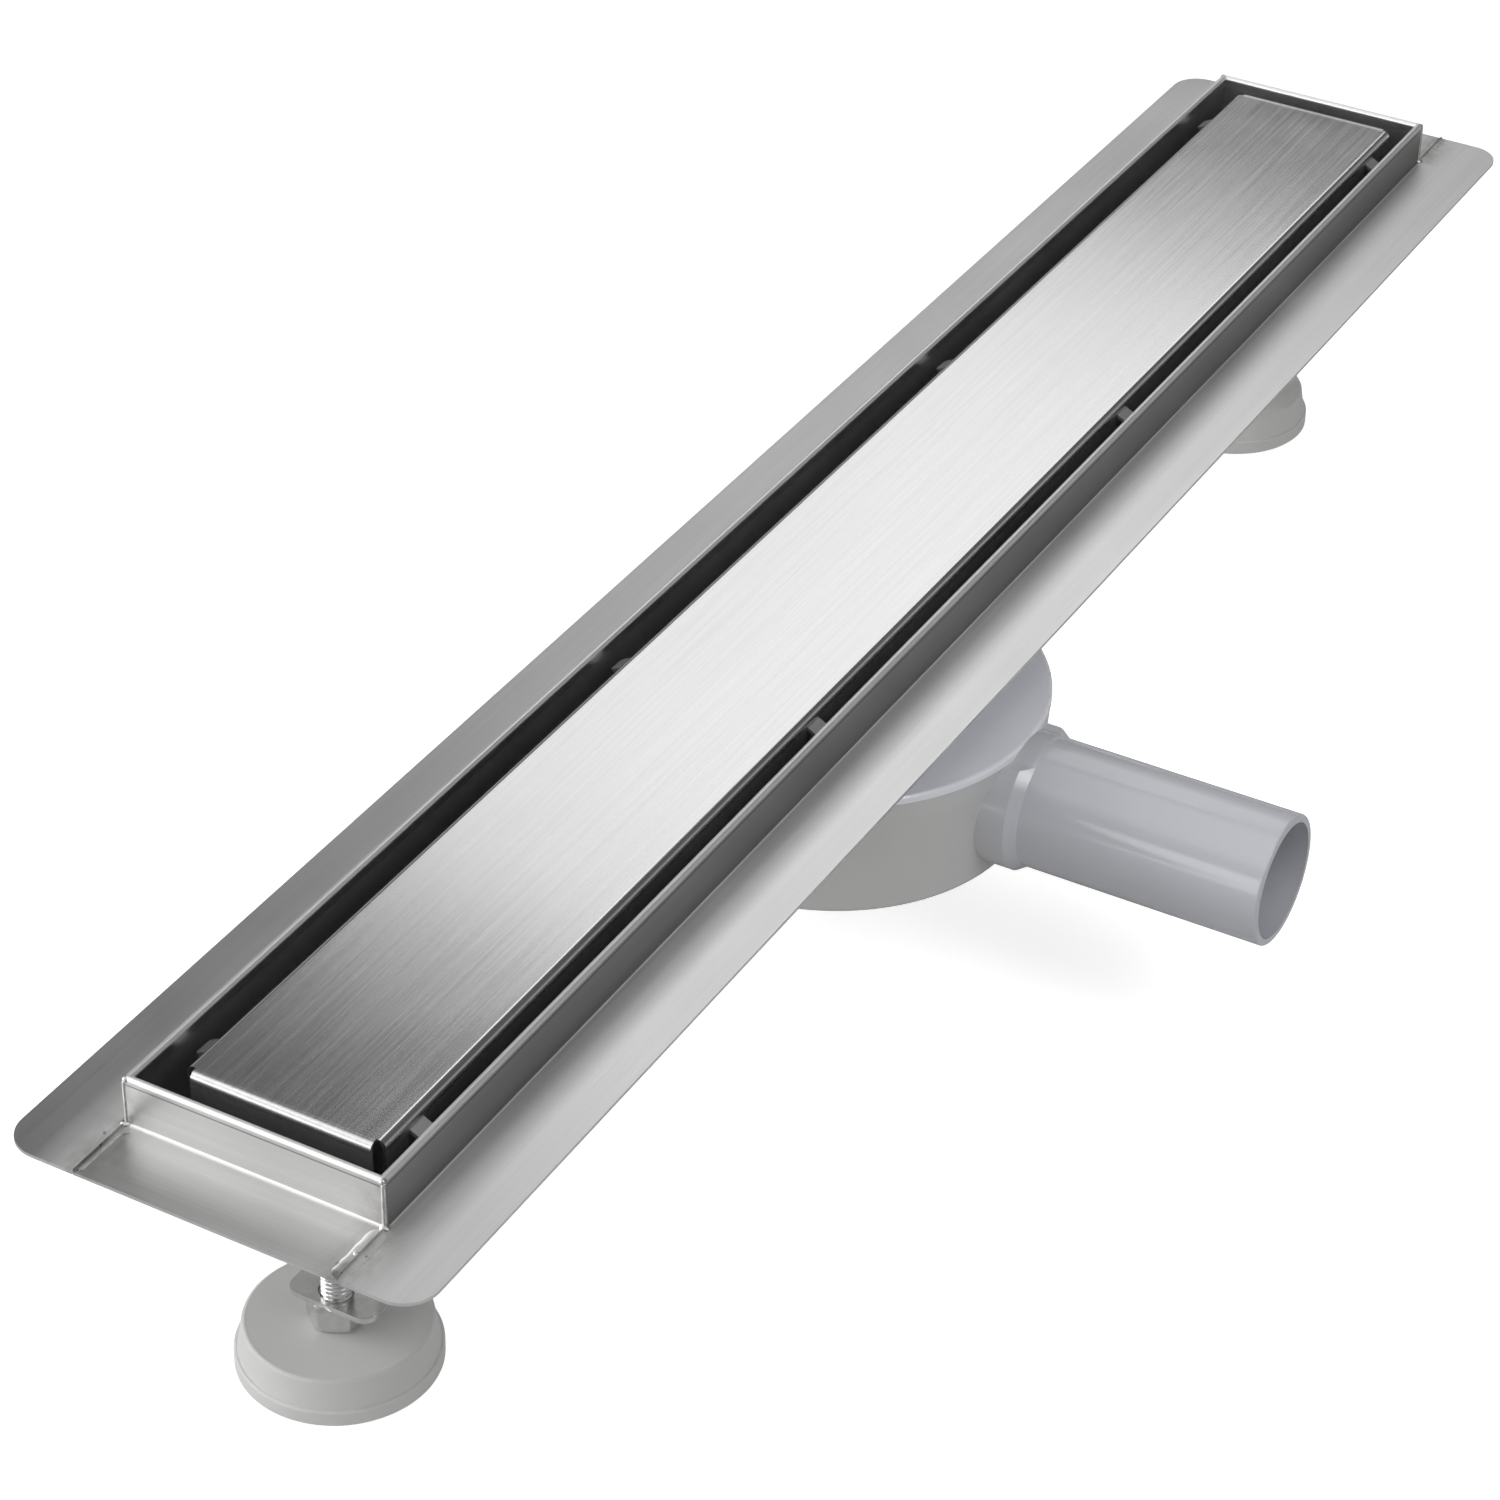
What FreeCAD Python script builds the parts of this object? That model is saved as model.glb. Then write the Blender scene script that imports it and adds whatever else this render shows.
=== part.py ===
import FreeCAD, Part
import math
import os

V = FreeCAD.Vector

# ---------------------------------------------------------------------------
# Linear shower drain, millimetres.
# Origin: centre of the cover's flat top. +X across the channel towards the
# outlet pipe, +Y along the channel, +Z up.
# ---------------------------------------------------------------------------

# levels
FLANGE_Z = -12.9          # top of the sealing flange
RIM_H = 13.5              # rim top above the flange
FLOOR_D = 17.5            # trough floor below the flange top
PAD_D = 77.0              # bottom of the foot pads below the flange top

# channel sheet
T = 0.9                   # sheet thickness
RIM_L = 600.0             # rim length, outside
RIM_W = 70.0              # rim width, outside
HEM = 2.0                 # folded rim edge, over both layers
FLANGE_SIDE = 21.0        # flange width beside the rim
FLANGE_END = 19.5         # flange width beyond the rim's ends
FLANGE_R = 9.0            # flange corner radius
BEND = 0.8                # inner bend radius at the flange
FLOOR_BEND = 1.5          # inner bend radius at the trough floor

# cover
COVER_W = 53.6
COVER_L = 583.0
COVER_X = 1.2             # the cover lies against its tabs on the +X side
COVER_Y = 0.5
COVER_T = 1.0
COVER_R = 2.0             # outer bend radius along the cover's edges
SKIRT_H = 9.0             # height of the turned-down edges
CORNER_CUT = 2.6          # open corner between two turned-down edges
TAB_Y0 = -277.0           # first pair of centring tabs
TAB_PITCH = 183.0
TAB_N = 4
TAB_W = 5.6
TAB_LEN = 4.6
TAB_D = 2.4               # top of a tab's root below the cover's top
TAB_SLOPE = 28.0          # tabs slope down towards the rim
TAB_T = 1.0

# bridges that carry the cover
BRIDGE_Y = (-250.0, -120.0, 90.0, 250.0)
BRIDGE_W = 18.0
BRIDGE_SPAN = 38.0
BRIDGE_T = 1.2
BRIDGE_BEND = 1.5

# outlet and trap
TRAP_Y = -29.0
HOLE_R = 25.6             # outlet hole in the trough floor
GASKET_T = 2.0
GASKET_RO = 36.0
GASKET_RI = 26.4
LID_D = 22.0              # top of the trap below the flange top
LID_R = 59.5
LID_T = 2.4
LID_RIM = 2.2             # height of the lid's rim; the seam shows below it
COLLAR_RO = 29.0          # threaded collar inside the lid
THREAD_R = 25.0           # clamp ring thread, over the crests
RING_BORE = 22.4
RING_FLANGE_R = 30.5
RING_FLANGE_T = 1.6
RING_BOTTOM_D = 33.0
BOWL_R_TOP = 59.1
BOWL_R_BOT = 55.8
BOWL_BOTTOM_D = 61.5
BOWL_WALL = 2.4
PIPE_D = 40.4             # outlet pipe axis below the flange top
PIPE_R = 18.15
PIPE_WALL = 2.1
PIPE_END_X = 134.5
PIPE_COLLAR_R = 20.2      # swelling where the pipe leaves the bowl
PIPE_COLLAR_X = 62.5
PIPE_ROOT_R = 18.5        # root of the pipe above the seam, just below the lid's top
PIPE_ROOT_X = 64.5

# water seal insert
HEAD_R = 22.2             # dip tube head, in the clamp ring's bore
HEAD_REST_R = 23.4        # lip that lies on the clamp ring
TUBE_R = 13.5
TUBE_WALL = 1.5
TUBE_BOTTOM_D = 54.0
CUP_R = 21.0
CUP_WALL = 1.5
CUP_RIM_D = 37.0
CUP_BOTTOM_D = 58.0
O_RING_R = 1.0

# hair strainer
STRAINER_R = 29.0
STRAINER_T = 1.0

# feet
FOOT_Y = {"near": -271.0, "far": 244.0}
PLATE_D = 56.4            # top of the bracket's plate below the flange top
BRACKET_T = 1.5
BRACKET_W = 24.0
BRACKET_X = 1.0           # plate stands this far off the stud's axis
BRACKET_NOSE = 6.0        # plate beyond the stud's axis
BRACKET_WEB = 13.0        # web behind the stud's axis
BRACKET_TOP = 18.0        # welded top plate
STUD_R = 3.95             # M8 over the thread
NUT_BORE = 4.0
NUT_AF = 13.0
NUT_H = 6.5
NUT_TURN = -64.0
STUD_TOP_D = 21.0            # top of the stud, screwed right in
PAD_R = 25.0
PAD_BASE_H = 4.6
PAD_H = 12.4
HEAD_H = 5.3              # stud's hexagon head, moulded into the pad


def z(depth):
    """Height in this frame of a level given as depth below the flange top."""
    return FLANGE_Z - depth


RIM_Z = FLANGE_Z + RIM_H
FLOOR_Z = z(FLOOR_D)
os.makedirs("parts", exist_ok=True)


def save(name, shape):
    if shape.ShapeType == "Compound" and len(shape.Solids) == 1:
        shape = shape.Solids[0]
    assert shape.isValid(), name
    assert shape.Volume > 0, name
    shape.exportStep("parts/%s.step" % name)
    b = shape.BoundBox
    print("%-20s solids %d  x %.2f..%.2f  y %.2f..%.2f  z %.2f..%.2f  v %.1f"
          % (name, len(shape.Solids), b.XMin, b.XMax, b.YMin, b.YMax,
             b.ZMin, b.ZMax, shape.Volume))


def clean(shape):
    try:
        out = shape.copy().removeSplitter()
        if out.isValid() and abs(out.Volume - shape.Volume) < 1e-3 * shape.Volume:
            return out
    except Exception:
        pass
    return shape


def sheet_outline(points, bends, t):
    """Closed outline of bent sheet of thickness t about the centre line
    'points' (2-D), with 'bends' giving the inner bend radius at each inner
    vertex. Returns a list of segments: ("L", a, b) and ("A", a, mid, b)."""
    n = len(points)
    left, right = [], []

    def unit(a, b):
        d = math.hypot(b[0] - a[0], b[1] - a[1])
        return ((b[0] - a[0]) / d, (b[1] - a[1]) / d)

    d0 = unit(points[0], points[1])
    nl = (-d0[1], d0[0])
    left.append(("P", (points[0][0] + nl[0] * t / 2, points[0][1] + nl[1] * t / 2)))
    right.append(("P", (points[0][0] - nl[0] * t / 2, points[0][1] - nl[1] * t / 2)))
    for i in range(1, n - 1):
        da = unit(points[i - 1], points[i])
        db = unit(points[i], points[i + 1])
        cross = da[0] * db[1] - da[1] * db[0]
        dot = da[0] * db[0] + da[1] * db[1]
        ang = math.atan2(cross, dot)
        rho = bends[i - 1] + t / 2
        back = rho * math.tan(abs(ang) / 2)
        p = points[i]
        t1 = (p[0] - da[0] * back, p[1] - da[1] * back)
        t2 = (p[0] + db[0] * back, p[1] + db[1] * back)
        s = 1.0 if ang > 0 else -1.0
        n1 = (-da[1] * s, da[0] * s)
        c = (t1[0] + n1[0] * rho, t1[1] + n1[1] * rho)
        m = unit(c, p)
        for side, store in ((1.0, left), (-1.0, right)):
            r = rho - side * s * t / 2
            a = (c[0] + (t1[0] - c[0]) * r / rho, c[1] + (t1[1] - c[1]) * r / rho)
            b = (c[0] + (t2[0] - c[0]) * r / rho, c[1] + (t2[1] - c[1]) * r / rho)
            mid = (c[0] + m[0] * r, c[1] + m[1] * r)
            store.append(("A", a, mid, b))
    dn = unit(points[-2], points[-1])
    nl = (-dn[1], dn[0])
    left.append(("P", (points[-1][0] + nl[0] * t / 2, points[-1][1] + nl[1] * t / 2)))
    right.append(("P", (points[-1][0] - nl[0] * t / 2, points[-1][1] - nl[1] * t / 2)))

    segs = []

    def walk(items):
        cur = items[0][1]
        for it in items[1:]:
            if it[0] == "P":
                segs.append(("L", cur, it[1]))
                cur = it[1]
            else:
                segs.append(("L", cur, it[1]))
                segs.append(("A", it[1], it[2], it[3]))
                cur = it[3]
        return cur

    rev = []
    for it in reversed(right):
        rev.append(it if it[0] == "P" else ("A", it[3], it[2], it[1]))
    end = walk(left)
    segs.append(("L", end, rev[0][1]))
    end = walk(rev)
    segs.append(("L", end, left[0][1]))
    return segs


def sheet_solid(points, bends, t, place, run):
    """Bent sheet swept along the vector 'run'; place maps 2-D to 3-D."""
    edges = []
    for s in sheet_outline(points, bends, t):
        if s[0] == "L":
            a, b = place(s[1]), place(s[2])
            if (a - b).Length > 1e-6:
                edges.append(Part.LineSegment(a, b).toShape())
        else:
            edges.append(Part.Arc(place(s[1]), place(s[2]), place(s[3])).toShape())
    wire = Part.Wire(edges)
    face = Part.Face(wire)
    solid = face.extrude(run)
    if solid.Volume < 0:
        solid.reverse()
    return solid


def prism(points, z0, z1):
    pts = [V(x, y, z0) for x, y in points]
    face = Part.Face(Part.makePolygon(pts + [pts[0]]))
    return face.extrude(V(0, 0, z1 - z0))


def box(x0, x1, y0, y1, z0, z1):
    return Part.makeBox(x1 - x0, y1 - y0, z1 - z0, V(x0, y0, z0))


def cyl(r, z0, z1, x=0.0, y=0.0):
    return Part.makeCylinder(r, z1 - z0, V(x, y, z0))


def turned(outline, x=0.0, y=0.0):
    """Solid of revolution about the vertical axis through x, y. The outline
    is a closed list of (r, z) points, or ("arc", mid, end) after a point."""
    edges = []
    cur = V(outline[0][0], 0, outline[0][1])
    first = cur
    for it in outline[1:]:
        if it[0] == "arc":
            mid = V(it[1][0], 0, it[1][1])
            end = V(it[2][0], 0, it[2][1])
            edges.append(Part.Arc(cur, mid, end).toShape())
        else:
            end = V(it[0], 0, it[1])
            edges.append(Part.LineSegment(cur, end).toShape())
        cur = end
    if (cur - first).Length > 1e-7:
        edges.append(Part.LineSegment(cur, first).toShape())
    face = Part.Face(Part.Wire(edges))
    solid = face.revolve(V(0, 0, 0), V(0, 0, 1), 360)
    if solid.ShapeType != "Solid":
        solid = Part.Solid(Part.Shell(solid.Faces))
    if solid.Volume < 0:
        solid.reverse()
    solid.translate(V(x, y, 0))
    return solid


def round_edges(shape, pick, r):
    edges = [e for e in shape.Edges if pick(e)]
    if not edges:
        return shape
    try:
        out = shape.makeFillet(r, edges)
        if out.isValid() and out.Volume > 0:
            return out
    except Exception:
        pass
    return shape


# ---------------------------------------------------------------------------
# channel: one long folded sheet, and two folded end pieces welded into it
# ---------------------------------------------------------------------------
hw = RIM_W / 2.0
hl = RIM_L / 2.0
outer = hw - T / 2                      # centre line of the rim's outer layer
inner = hw - HEM + T / 2                # centre line of its inner layer
top_line = RIM_Z - T / 2
flange_line = FLANGE_Z - T / 2
floor_line = FLOOR_Z - T / 2
hem_bend = (outer - inner) / 2 - T / 2  # inner radius of the folded edge

half = [
    (hw + FLANGE_SIDE, flange_line),
    (outer, flange_line),
    (outer, top_line),
    (inner, top_line),
    (inner, floor_line),
]
half_bends = [BEND, hem_bend, hem_bend, FLOOR_BEND]
section = half + [(-x, zz) for x, zz in reversed(half)]
section_bends = half_bends + list(reversed(half_bends))
span = hl + FLANGE_END
channel = sheet_solid(section, section_bends, T,
                      lambda p: V(p[0], -span, p[1]), V(0, 2 * span, 0))


def end_zone(sign, grow=0.0):
    """Plan area that belongs to an end piece: bounded by the flange seams and
    the 45 degree mitres of the rim."""
    yo, yi = hl, hl - HEM
    pts = [(-hw, yo), (-(hw - HEM), yi), (hw - HEM, yi), (hw, yo),
           (hw, span + 10 + grow), (-hw, span + 10 + grow)]
    pts = [(x, sign * y) for x, y in pts]
    return prism(pts, z(60), RIM_Z + 10)


for s in (-1, 1):
    channel = channel.cut(end_zone(s))
# rounded flange corners
plan = box(-hw - FLANGE_SIDE, hw + FLANGE_SIDE, -span, span, z(60), RIM_Z + 10)
plan = round_edges(plan, lambda e: abs(e.BoundBox.ZLength) > 50, FLANGE_R)
channel = channel.common(plan)
channel = channel.cut(cyl(HOLE_R, FLOOR_Z - 5, FLOOR_Z + 5, 0, TRAP_Y))
save("channel_body", channel)

for name, s in (("near", -1), ("far", 1)):
    pts = [
        (span, flange_line),
        (hl - T / 2, flange_line),
        (hl - T / 2, top_line),
        (hl - HEM + T / 2, top_line),
        (hl - HEM + T / 2, FLOOR_Z - T),
    ]
    piece = sheet_solid(pts, [BEND, hem_bend, hem_bend], T,
                        lambda p: V(-hw, s * p[0], p[1]), V(2 * hw, 0, 0))
    piece = piece.common(end_zone(s))
    # below the rim the end wall follows the trough's inner section
    r = FLOOR_BEND + T
    w = hw - HEM
    low = box(-w, w, s * (hl + 5) if s < 0 else hl - HEM - 1,
              -(hl - HEM - 1) if s < 0 else hl + 5, FLOOR_Z - T, z(T + 0.6))
    low = round_edges(low, lambda e: abs(e.BoundBox.YLength) > 3 and
                      abs(e.CenterOfMass.z - (FLOOR_Z - T)) < 0.01, r)
    high = box(-hw - 1, hw + 1, s * (hl + 40) if s < 0 else hl - HEM - 1,
               -(hl - HEM - 1) if s < 0 else hl + 40, z(T + 0.6), RIM_Z + 5)
    piece = piece.common(low.fuse(high))
    piece = clean(piece)
    save("end_piece_" + name, piece)

# ---------------------------------------------------------------------------
# cover: flat top, four turned-down edges with open corners, lanced tabs
# ---------------------------------------------------------------------------
cw, cl = COVER_W / 2.0, COVER_L / 2.0
line_z = -COVER_T / 2
long_pts = [(-cw + COVER_T / 2, -SKIRT_H), (-cw + COVER_T / 2, line_z),
            (cw - COVER_T / 2, line_z), (cw - COVER_T / 2, -SKIRT_H)]
rb = COVER_R - COVER_T
run_l = 2 * (cl - CORNER_CUT)
across = sheet_solid(long_pts, [rb, rb], COVER_T,
                     lambda p: V(p[0], -run_l / 2, p[1]), V(0, run_l, 0))
end_pts = [(-cl + COVER_T / 2, -SKIRT_H), (-cl + COVER_T / 2, line_z),
           (cl - COVER_T / 2, line_z), (cl - COVER_T / 2, -SKIRT_H)]
run_w = 2 * (cw - CORNER_CUT)
along = sheet_solid(end_pts, [rb, rb], COVER_T,
                    lambda p: V(-run_w / 2, p[0], p[1]), V(run_w, 0, 0))
cover = across.fuse(along)
tabs = []
for k in range(TAB_N):
    y = TAB_Y0 + k * TAB_PITCH
    for s in (-1, 1):
        # window left in the skirt where the tab was cut and bent out
        zt = -TAB_D
        a, b = sorted((s * (cw - COVER_T - 1), s * (cw + 1)))
        cover = cover.cut(box(a, b, y - TAB_W / 2 - 0.3, y + TAB_W / 2 + 0.3,
                              zt - TAB_T - TAB_LEN, zt - TAB_T))
        root = cw - 0.45
        tip = root + (cw + TAB_LEN - root) / math.cos(math.radians(TAB_SLOPE))
        a, b = sorted((s * root, s * tip))
        tab = box(a, b, y - TAB_W / 2, y + TAB_W / 2, zt - TAB_T, zt)
        tab = round_edges(tab, lambda e: abs(e.BoundBox.ZLength - TAB_T) < 0.01
                          and abs(abs(e.CenterOfMass.x) - tip) < 0.01,
                          1.0)
        tab.rotate(V(s * root, 0, zt), V(0, 1, 0), s * TAB_SLOPE)
        tabs.append(tab)
for tab in tabs:
    cover = cover.fuse(tab)
cover = clean(cover)
cover.translate(V(COVER_X, COVER_Y, 0))
save("cover_plate", cover)

# bridges under the cover, legs standing on the trough floor
bh = BRIDGE_SPAN / 2.0
bridge_top = -COVER_T
pts = [(-bh + BRIDGE_T / 2, FLOOR_Z), (-bh + BRIDGE_T / 2, bridge_top - BRIDGE_T / 2),
       (bh - BRIDGE_T / 2, bridge_top - BRIDGE_T / 2), (bh - BRIDGE_T / 2, FLOOR_Z)]
bridges = []
for y in BRIDGE_Y:
    b = sheet_solid(pts, [BRIDGE_BEND, BRIDGE_BEND], BRIDGE_T,
                    lambda p: V(p[0] + COVER_X, y - BRIDGE_W / 2, p[1]),
                    V(0, BRIDGE_W, 0))
    # a drain notch in the foot of each leg lets the water pass
    for s in (-1, 1):
        xm = COVER_X + s * (bh - BRIDGE_T / 2)
        b = b.cut(box(xm - 2, xm + 2, y - 4, y + 4, FLOOR_Z - 1, FLOOR_Z + 4))
    bridges.append(b)
save("cover_bridges", Part.makeCompound(bridges))

# ---------------------------------------------------------------------------
# outlet: gasket, clamp ring, trap lid, trap bowl with its outlet pipe
# ---------------------------------------------------------------------------
under = FLOOR_Z - T
gasket_low = under - GASKET_T
gasket = turned([(GASKET_RI, gasket_low), (GASKET_RO, gasket_low),
                 (GASKET_RO, under), (GASKET_RI, under)], 0, TRAP_Y)
save("outlet_gasket", gasket)

lid_top = z(LID_D)
ring_low = z(RING_BOTTOM_D)
ring_top = FLOOR_Z + RING_FLANGE_T
ring = turned([
    (RING_BORE, ring_low), (THREAD_R - 0.8, ring_low), (THREAD_R, ring_low + 0.8),
    (THREAD_R, FLOOR_Z), (RING_FLANGE_R, FLOOR_Z), (RING_FLANGE_R, FLOOR_Z + 0.6),
    (RING_FLANGE_R - 1.0, ring_top), (HEAD_REST_R + 0.3, ring_top),
    (HEAD_REST_R + 0.3, FLOOR_Z), (RING_BORE, FLOOR_Z)], 0, TRAP_Y)
# key notches in the flange for the assembly spanner
for k in range(4):
    a = math.radians(45 + 90 * k)
    ring = ring.cut(cyl(1.8, FLOOR_Z - 0.01, ring_top + 1,
                        (RING_FLANGE_R - 0.4) * math.cos(a),
                        TRAP_Y + (RING_FLANGE_R - 0.4) * math.sin(a)))
save("clamp_ring", ring)

lid = turned([
    (THREAD_R, ring_low), (COLLAR_RO, ring_low), (COLLAR_RO, lid_top - LID_T),
    (BOWL_R_TOP - BOWL_WALL - 2.0, lid_top - LID_T),
    (BOWL_R_TOP - BOWL_WALL - 2.0, lid_top - LID_T - 3.0),
    (BOWL_R_TOP - BOWL_WALL - 0.1, lid_top - LID_T - 3.0),
    (BOWL_R_TOP - BOWL_WALL - 0.1, lid_top - LID_RIM),
    (LID_R, lid_top - LID_RIM), (LID_R, lid_top - 1.0),
    ("arc", (LID_R - 0.293, lid_top - 0.293), (LID_R - 1.0, lid_top)),
    (GASKET_RO + 1.0, lid_top), (GASKET_RO, gasket_low),
    (THREAD_R, gasket_low)], 0, TRAP_Y)
save("trap_lid", lid)

seam = lid_top - LID_RIM
low = z(BOWL_BOTTOM_D)
rt, rb2, wl = BOWL_R_TOP, BOWL_R_BOT, BOWL_WALL
bowl = turned([
    (0, low), (rb2 - 2.5, low),
    ("arc", (rb2 - 0.732, low + 0.732), (rb2, low + 2.5)),
    (rt, seam - 5.0), (rt, seam), (rt - wl, seam), (rt - wl, seam - 5.0),
    (rb2 - wl, low + wl + 2.0),
    ("arc", (rb2 - wl - 0.586, low + wl + 0.586), (rb2 - wl - 2.0, low + wl)),
    (0, low + wl)], 0, TRAP_Y)
pipe_z = z(PIPE_D)


def along_x(r, x0, x1):
    return Part.makeCylinder(r, x1 - x0, V(x0, TRAP_Y, pipe_z), V(1, 0, 0))


pipe = along_x(PIPE_R, 40.0, PIPE_END_X)
pipe = round_edges(pipe, lambda e: abs(e.BoundBox.XMin - PIPE_END_X) < 0.01
                   and e.BoundBox.XLength < 0.01, 0.7)
swell = Part.makeCone(PIPE_COLLAR_R, PIPE_R, 3.0,
                      V(PIPE_COLLAR_X, TRAP_Y, pipe_z), V(1, 0, 0))
swell = along_x(PIPE_COLLAR_R, 44.0, PIPE_COLLAR_X).fuse(swell)
# the swelling stays below the lid's rim
swell = swell.common(box(40, 80, TRAP_Y - 40, TRAP_Y + 40, low, seam))
outer_wall = turned([(0, low), (rb2 - 2.5, low),
                     ("arc", (rb2 - 0.732, low + 0.732), (rb2, low + 2.5)),
                     (rt, seam - 5.0), (rt, seam), (0, seam)], 0, TRAP_Y)
above = cyl(rt + 0.4, seam, seam + 4.0, 0, TRAP_Y)
root = along_x(PIPE_ROOT_R, 44.0, PIPE_ROOT_X).fuse(
    Part.makeCone(PIPE_ROOT_R, PIPE_R, PIPE_COLLAR_X + 3.0 - PIPE_ROOT_X,
                  V(PIPE_ROOT_X, TRAP_Y, pipe_z), V(1, 0, 0)))
spout = pipe.fuse(swell).fuse(root).cut(outer_wall).cut(above)
bowl = bowl.fuse(spout)
bowl = bowl.cut(along_x(PIPE_R - PIPE_WALL, 40.0, PIPE_END_X + 1.0))
solids = sorted(bowl.Solids, key=lambda q: -q.Volume)
bowl = clean(solids[0])
save("trap_body", bowl)

# ---------------------------------------------------------------------------
# removable water seal insert
# ---------------------------------------------------------------------------
F = FLOOR_Z
tube_low = z(TUBE_BOTTOM_D)
ri = TUBE_R - TUBE_WALL
groove = HEAD_R - 1.8
tube = turned([
    (ri, tube_low), (TUBE_R, tube_low), (TUBE_R, F - 13.0), (19.5, F - 9.0),
    (HEAD_R, F - 9.0), (HEAD_R, F - 5.1), (groove, F - 5.1), (groove, F - 2.9),
    (HEAD_R, F - 2.9), (HEAD_R, F), (HEAD_REST_R, F), (HEAD_REST_R, F + 1.3),
    (21.5, F + 1.3), (18.6, F - 1.6), (18.6, F - 8.0), (ri, F - 12.4)],
    0, TRAP_Y)
save("dip_tube", tube)

o_ring = Part.makeTorus(RING_BORE - O_RING_R, O_RING_R, V(0, TRAP_Y, F - 4.0))
save("insert_o_ring", o_ring)

cup_low = z(CUP_BOTTOM_D)
cup_rim = z(CUP_RIM_D)
cup = turned([
    (0, cup_low), (CUP_R - 1.5, cup_low),
    ("arc", (CUP_R - 0.44, cup_low + 0.44), (CUP_R, cup_low + 1.5)),
    (CUP_R, cup_rim), (CUP_R - CUP_WALL, cup_rim),
    (CUP_R - CUP_WALL, cup_low + CUP_WALL), (0, cup_low + CUP_WALL)], 0, TRAP_Y)
for k in range(4):
    a = 45.0 + 90.0 * k
    fin = box(9.0, CUP_R - CUP_WALL + 0.3, -0.8, 0.8, cup_low + CUP_WALL - 0.3,
              tube_low).fuse(
        box(TUBE_R + 0.05, CUP_R - CUP_WALL + 0.3, -0.8, 0.8, tube_low - 0.01,
            tube_low + 9.0))
    fin.rotate(V(0, 0, 0), V(0, 0, 1), a)
    fin.translate(V(0, TRAP_Y, 0))
    cup = cup.fuse(fin)
cup = clean(cup)
save("seal_cup", cup)

plate = cyl(STRAINER_R, ring_top, ring_top + STRAINER_T, 0, TRAP_Y)
holes = [(0.0, 0.0)]
for count, r in ((6, 7.0), (12, 13.6), (18, 20.2)):
    for k in range(count):
        a = 2 * math.pi * (k + 0.5 * (r > 10)) / count
        holes.append((r * math.cos(a), r * math.sin(a)))
for hx, hy in holes:
    plate = plate.cut(cyl(2.2, ring_top - 1, ring_top + 3, hx, TRAP_Y + hy))
save("hair_strainer", plate)

# ---------------------------------------------------------------------------
# feet: welded bracket, nut under its plate, stud with head, moulded pad
# ---------------------------------------------------------------------------
pad_low = z(PAD_D)
plate_top = z(PLATE_D)


def hexagon(af, z0, z1, turn):
    r = af / math.sqrt(3)
    pts = [(r * math.cos(math.radians(turn + 30 + 60 * k)),
            r * math.sin(math.radians(turn + 30 + 60 * k))) for k in range(6)]
    return prism(pts, z0, z1)


for name, side in (("near", 1), ("far", -1)):
    y0 = FOOT_Y[name]
    path = [(-BRACKET_NOSE, plate_top - BRACKET_T / 2),
            (BRACKET_WEB, plate_top - BRACKET_T / 2),
            (BRACKET_WEB, under - BRACKET_T / 2),
            (BRACKET_WEB + BRACKET_TOP, under - BRACKET_T / 2)]
    br = sheet_solid(path, [1.5, 1.5], BRACKET_T,
                     lambda p: V(BRACKET_X - BRACKET_W / 2, y0 + side * p[0], p[1]),
                     V(BRACKET_W, 0, 0))
    ends = (y0 - side * BRACKET_NOSE, y0 + side * (BRACKET_WEB + BRACKET_TOP))
    br = round_edges(br, lambda e: abs(e.BoundBox.ZLength - BRACKET_T) < 0.01
                     and e.BoundBox.YLength < 0.01 and e.BoundBox.XLength < 0.01
                     and min(abs(e.CenterOfMass.y - q) for q in ends) < 0.01, 3.5)
    br = br.cut(cyl(4.5, plate_top - 4, plate_top + 2, 0, y0))
    save("foot_bracket_" + name, br)

    nut_top = plate_top - BRACKET_T
    nut = hexagon(NUT_AF, nut_top - NUT_H, nut_top, NUT_TURN)
    rc = NUT_AF / math.sqrt(3)
    bev = turned([(0, nut_top - NUT_H), (NUT_AF / 2 - 0.2, nut_top - NUT_H),
                  (rc + 0.3, nut_top - NUT_H + 0.75), (rc + 0.3, nut_top - 0.75),
                  (NUT_AF / 2 - 0.2, nut_top), (0, nut_top)])
    nut = nut.common(bev).cut(cyl(NUT_BORE, nut_top - NUT_H - 1, nut_top + 1))
    nut.translate(V(0, y0, 0))
    save("foot_nut_" + name, nut)

    top = z(STUD_TOP_D)
    pad_top = pad_low + PAD_H
    head_low = pad_low + 3.4
    stud = turned([(0, head_low + 0.1), (STUD_R, head_low + 0.1),
                   (STUD_R, top - 0.8), (STUD_R - 0.8, top), (0, top)])
    stud = hexagon(NUT_AF, head_low, head_low + HEAD_H, NUT_TURN).fuse(stud)
    stud.translate(V(0, y0, 0))
    b = pad_low
    pad = turned([
        (0, b + 1.2), (19.0, b + 1.2), (19.6, b), (24.4, b), (PAD_R, b + 0.6),
        (PAD_R, b + PAD_BASE_H - 0.6),
        ("arc", (PAD_R - 0.18, b + PAD_BASE_H - 0.18),
         (PAD_R - 0.6, b + PAD_BASE_H)),
        (24.15, b + PAD_BASE_H), (22.95, b + 11.3),
        ("arc", (22.55, b + 12.2), (21.6, b + PAD_H)),
        (0, b + PAD_H)])
    pad.translate(V(0, y0, 0))
    pad = pad.cut(stud)
    save("foot_stud_" + name, stud)
    save("foot_pad_" + name, pad)
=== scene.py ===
import math

import bmesh
import bpy
from mathutils import Matrix, Vector, noise


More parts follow.
